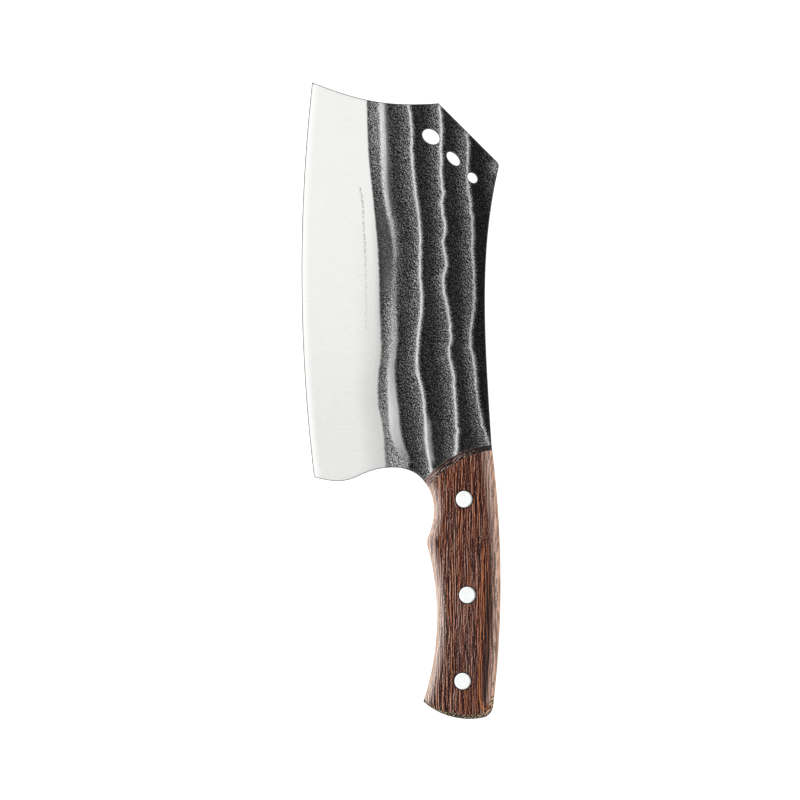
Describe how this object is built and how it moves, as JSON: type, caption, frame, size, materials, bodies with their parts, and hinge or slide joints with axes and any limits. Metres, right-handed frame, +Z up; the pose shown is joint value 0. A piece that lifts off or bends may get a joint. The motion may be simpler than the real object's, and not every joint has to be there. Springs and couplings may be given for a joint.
{
  "type": "meat cleaver",
  "caption": "Forged bone cleaver with a clipped, pierced front corner and a full tang between two riveted wooden scales.",
  "frame": {"origin": "on the surface that the cleaver lies on, under the middle of its whole outline", "axes": "+Y from the butt of the handle to the front end of the blade, +X from the cutting edge to the spine, +Z up through the thickness; the left face of the blade is up"},
  "size_m": [0.0939, 0.3003, 0.022],
  "materials": {
    "blade_steel": "satin",
    "handle_wood": "satin",
    "rivet_steel": "satin",
    "epoxy": "gloss"
  },
  "bodies": {
    "root": {"blade_and_tang": "blade_steel", "left_epoxy_sheet": "epoxy", "left_scale": "handle_wood", "right_epoxy_sheet": "epoxy", "right_scale": "handle_wood", "front_rivet_male": "rivet_steel", "front_rivet_female": "rivet_steel", "middle_rivet_male": "rivet_steel", "middle_rivet_female": "rivet_steel", "rear_rivet_male": "rivet_steel", "rear_rivet_female": "rivet_steel"}
  },
  "joints": []
}
